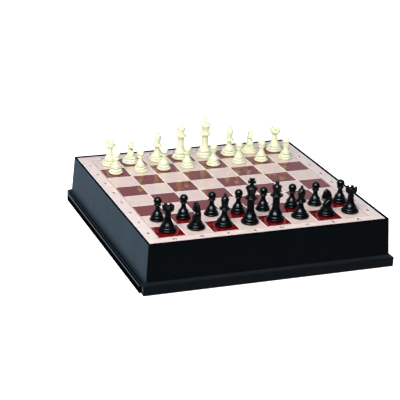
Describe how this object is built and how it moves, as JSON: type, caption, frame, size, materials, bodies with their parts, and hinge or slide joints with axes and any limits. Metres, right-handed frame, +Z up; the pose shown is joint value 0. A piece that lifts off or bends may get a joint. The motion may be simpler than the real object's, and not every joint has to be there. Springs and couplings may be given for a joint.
{
  "type": "electronic chess computer",
  "caption": "Square black plastic chess computer with a printed board top, a slide-out control tray, a battery bay and a set of ivory and black chessmen that lift off.",
  "frame": {"origin": "on the floor under the middle of the case", "axes": "+Z up out of the board, +Y from the black men to the ivory men, +X away from the control tray's side"},
  "size_m": [0.3632, 0.3632, 0.1312],
  "materials": {
    "case_plastic": "satin moulded",
    "board_laminate": "gloss print of wood squares",
    "film": "matt film",
    "foot_rubber": "matt",
    "screw_steel": "zinc plated",
    "contact_steel": "nickel plated",
    "circuit_laminate": "solder mask",
    "chip_epoxy": "matt",
    "speaker_steel": "pressed steel",
    "cell_jacket": "printed jacket",
    "panel_plastic": "satin",
    "display": "polished",
    "key_plastic": "semi-gloss",
    "ivory_plastic": "semi-gloss",
    "black_plastic": "gloss"
  },
  "bodies": {
    "case": {"case_shell": "case_plastic", "board_panel": "board_laminate", "sensor_membrane": "film", "sensor_tail": "film", "bottom_cover": "case_plastic", "rubber_feet": "foot_rubber", "cover_screws": "screw_steel", "main_circuit_board": "circuit_laminate", "circuit_chips": "chip_epoxy", "board_screws": "screw_steel", "loudspeaker": "speaker_steel", "battery_cells": "cell_jacket", "battery_contacts": "contact_steel", "tray_rails": "case_plastic", "tray_ribbon": "film"},
    "battery_door": {"battery_door": "case_plastic"},
    "tray": {"control_tray": "case_plastic", "control_panel": "panel_plastic", "tray_circuit_board": "circuit_laminate", "key_mat": "foot_rubber", "display_glass": "display"},
    "new_game_key": {"new_game_key": "key_plastic"},
    "level_key": {"level_key": "key_plastic"},
    "sound_key": {"sound_key": "key_plastic"},
    "take_back_key": {"take_back_key": "key_plastic"},
    "hint_key": {"hint_key": "key_plastic"},
    "move_key": {"move_key": "key_plastic"},
    "power_switch": {"power_switch": "key_plastic"},
    "black_king": {"black_king": "black_plastic"},
    "black_queen": {"black_queen": "black_plastic"},
    "black_rook_a": {"black_rook_a": "black_plastic"},
    "black_rook_h": {"black_rook_h": "black_plastic"},
    "black_knight_b": {"black_knight_b": "black_plastic"},
    "black_knight_g": {"black_knight_g": "black_plastic"},
    "black_bishop_c": {"black_bishop_c": "black_plastic"},
    "black_bishop_f": {"black_bishop_f": "black_plastic"},
    "black_pawn_a": {"black_pawn_a": "black_plastic"},
    "black_pawn_b": {"black_pawn_b": "black_plastic"},
    "black_pawn_c": {"black_pawn_c": "black_plastic"},
    "black_pawn_d": {"black_pawn_d": "black_plastic"},
    "black_pawn_e": {"black_pawn_e": "black_plastic"},
    "black_pawn_f": {"black_pawn_f": "black_plastic"},
    "black_pawn_g": {"black_pawn_g": "black_plastic"},
    "black_pawn_h": {"black_pawn_h": "black_plastic"},
    "ivory_king": {"ivory_king": "ivory_plastic"},
    "ivory_queen": {"ivory_queen": "ivory_plastic"},
    "ivory_rook_a": {"ivory_rook_a": "ivory_plastic"},
    "ivory_rook_h": {"ivory_rook_h": "ivory_plastic"},
    "ivory_knight_b": {"ivory_knight_b": "ivory_plastic"},
    "ivory_knight_g": {"ivory_knight_g": "ivory_plastic"},
    "ivory_bishop_c": {"ivory_bishop_c": "ivory_plastic"},
    "ivory_bishop_f": {"ivory_bishop_f": "ivory_plastic"},
    "ivory_pawn_a": {"ivory_pawn_a": "ivory_plastic"},
    "ivory_pawn_b": {"ivory_pawn_b": "ivory_plastic"},
    "ivory_pawn_c": {"ivory_pawn_c": "ivory_plastic"},
    "ivory_pawn_d": {"ivory_pawn_d": "ivory_plastic"},
    "ivory_pawn_e": {"ivory_pawn_e": "ivory_plastic"},
    "ivory_pawn_f": {"ivory_pawn_f": "ivory_plastic"},
    "ivory_pawn_g": {"ivory_pawn_g": "ivory_plastic"},
    "ivory_pawn_h": {"ivory_pawn_h": "ivory_plastic"}
  },
  "joints": [
    {"name": "tray_slide", "type": "slide", "parent": "case", "child": "tray", "axis": [-1, 0, 0], "range_m": [0, 0.058], "deforming": ["tray_ribbon"]},
    {"name": "battery_door_pull", "type": "slide", "parent": "case", "child": "battery_door", "axis": [0, 0, -1], "range_m": [0, 0.03]},
    {"name": "power_switch_slide", "type": "slide", "parent": "tray", "child": "power_switch", "axis": [0, 1, 0], "range_m": [0, 0.004]},
    {"name": "new_game_key_press", "type": "slide", "parent": "tray", "child": "new_game_key", "axis": [0, 0, -1], "range_m": [0, 0.0005], "stiffness_N_per_m": 600},
    {"name": "level_key_press", "type": "slide", "parent": "tray", "child": "level_key", "axis": [0, 0, -1], "range_m": [0, 0.0005], "stiffness_N_per_m": 600},
    {"name": "sound_key_press", "type": "slide", "parent": "tray", "child": "sound_key", "axis": [0, 0, -1], "range_m": [0, 0.0005], "stiffness_N_per_m": 600},
    {"name": "take_back_key_press", "type": "slide", "parent": "tray", "child": "take_back_key", "axis": [0, 0, -1], "range_m": [0, 0.0005], "stiffness_N_per_m": 600},
    {"name": "hint_key_press", "type": "slide", "parent": "tray", "child": "hint_key", "axis": [0, 0, -1], "range_m": [0, 0.0005], "stiffness_N_per_m": 600},
    {"name": "move_key_press", "type": "slide", "parent": "tray", "child": "move_key", "axis": [0, 0, -1], "range_m": [0, 0.0005], "stiffness_N_per_m": 600},
    {"name": "black_king_lift", "type": "slide", "parent": "case", "child": "black_king", "axis": [0, 0, 1], "range_m": [0, 0.08]},
    {"name": "black_queen_lift", "type": "slide", "parent": "case", "child": "black_queen", "axis": [0, 0, 1], "range_m": [0, 0.08]},
    {"name": "black_rook_a_lift", "type": "slide", "parent": "case", "child": "black_rook_a", "axis": [0, 0, 1], "range_m": [0, 0.08]},
    {"name": "black_rook_h_lift", "type": "slide", "parent": "case", "child": "black_rook_h", "axis": [0, 0, 1], "range_m": [0, 0.08]},
    {"name": "black_knight_b_lift", "type": "slide", "parent": "case", "child": "black_knight_b", "axis": [0, 0, 1], "range_m": [0, 0.08]},
    {"name": "black_knight_g_lift", "type": "slide", "parent": "case", "child": "black_knight_g", "axis": [0, 0, 1], "range_m": [0, 0.08]},
    {"name": "black_bishop_c_lift", "type": "slide", "parent": "case", "child": "black_bishop_c", "axis": [0, 0, 1], "range_m": [0, 0.08]},
    {"name": "black_bishop_f_lift", "type": "slide", "parent": "case", "child": "black_bishop_f", "axis": [0, 0, 1], "range_m": [0, 0.08]},
    {"name": "black_pawn_a_lift", "type": "slide", "parent": "case", "child": "black_pawn_a", "axis": [0, 0, 1], "range_m": [0, 0.08]},
    {"name": "black_pawn_b_lift", "type": "slide", "parent": "case", "child": "black_pawn_b", "axis": [0, 0, 1], "range_m": [0, 0.08]},
    {"name": "black_pawn_c_lift", "type": "slide", "parent": "case", "child": "black_pawn_c", "axis": [0, 0, 1], "range_m": [0, 0.08]},
    {"name": "black_pawn_d_lift", "type": "slide", "parent": "case", "child": "black_pawn_d", "axis": [0, 0, 1], "range_m": [0, 0.08]},
    {"name": "black_pawn_e_lift", "type": "slide", "parent": "case", "child": "black_pawn_e", "axis": [0, 0, 1], "range_m": [0, 0.08]},
    {"name": "black_pawn_f_lift", "type": "slide", "parent": "case", "child": "black_pawn_f", "axis": [0, 0, 1], "range_m": [0, 0.08]},
    {"name": "black_pawn_g_lift", "type": "slide", "parent": "case", "child": "black_pawn_g", "axis": [0, 0, 1], "range_m": [0, 0.08]},
    {"name": "black_pawn_h_lift", "type": "slide", "parent": "case", "child": "black_pawn_h", "axis": [0, 0, 1], "range_m": [0, 0.08]},
    {"name": "ivory_king_lift", "type": "slide", "parent": "case", "child": "ivory_king", "axis": [0, 0, 1], "range_m": [0, 0.08]},
    {"name": "ivory_queen_lift", "type": "slide", "parent": "case", "child": "ivory_queen", "axis": [0, 0, 1], "range_m": [0, 0.08]},
    {"name": "ivory_rook_a_lift", "type": "slide", "parent": "case", "child": "ivory_rook_a", "axis": [0, 0, 1], "range_m": [0, 0.08]},
    {"name": "ivory_rook_h_lift", "type": "slide", "parent": "case", "child": "ivory_rook_h", "axis": [0, 0, 1], "range_m": [0, 0.08]},
    {"name": "ivory_knight_b_lift", "type": "slide", "parent": "case", "child": "ivory_knight_b", "axis": [0, 0, 1], "range_m": [0, 0.08]},
    {"name": "ivory_knight_g_lift", "type": "slide", "parent": "case", "child": "ivory_knight_g", "axis": [0, 0, 1], "range_m": [0, 0.08]},
    {"name": "ivory_bishop_c_lift", "type": "slide", "parent": "case", "child": "ivory_bishop_c", "axis": [0, 0, 1], "range_m": [0, 0.08]},
    {"name": "ivory_bishop_f_lift", "type": "slide", "parent": "case", "child": "ivory_bishop_f", "axis": [0, 0, 1], "range_m": [0, 0.08]},
    {"name": "ivory_pawn_a_lift", "type": "slide", "parent": "case", "child": "ivory_pawn_a", "axis": [0, 0, 1], "range_m": [0, 0.08]},
    {"name": "ivory_pawn_b_lift", "type": "slide", "parent": "case", "child": "ivory_pawn_b", "axis": [0, 0, 1], "range_m": [0, 0.08]},
    {"name": "ivory_pawn_c_lift", "type": "slide", "parent": "case", "child": "ivory_pawn_c", "axis": [0, 0, 1], "range_m": [0, 0.08]},
    {"name": "ivory_pawn_d_lift", "type": "slide", "parent": "case", "child": "ivory_pawn_d", "axis": [0, 0, 1], "range_m": [0, 0.08]},
    {"name": "ivory_pawn_e_lift", "type": "slide", "parent": "case", "child": "ivory_pawn_e", "axis": [0, 0, 1], "range_m": [0, 0.08]},
    {"name": "ivory_pawn_f_lift", "type": "slide", "parent": "case", "child": "ivory_pawn_f", "axis": [0, 0, 1], "range_m": [0, 0.08]},
    {"name": "ivory_pawn_g_lift", "type": "slide", "parent": "case", "child": "ivory_pawn_g", "axis": [0, 0, 1], "range_m": [0, 0.08]},
    {"name": "ivory_pawn_h_lift", "type": "slide", "parent": "case", "child": "ivory_pawn_h", "axis": [0, 0, 1], "range_m": [0, 0.08]}
  ]
}
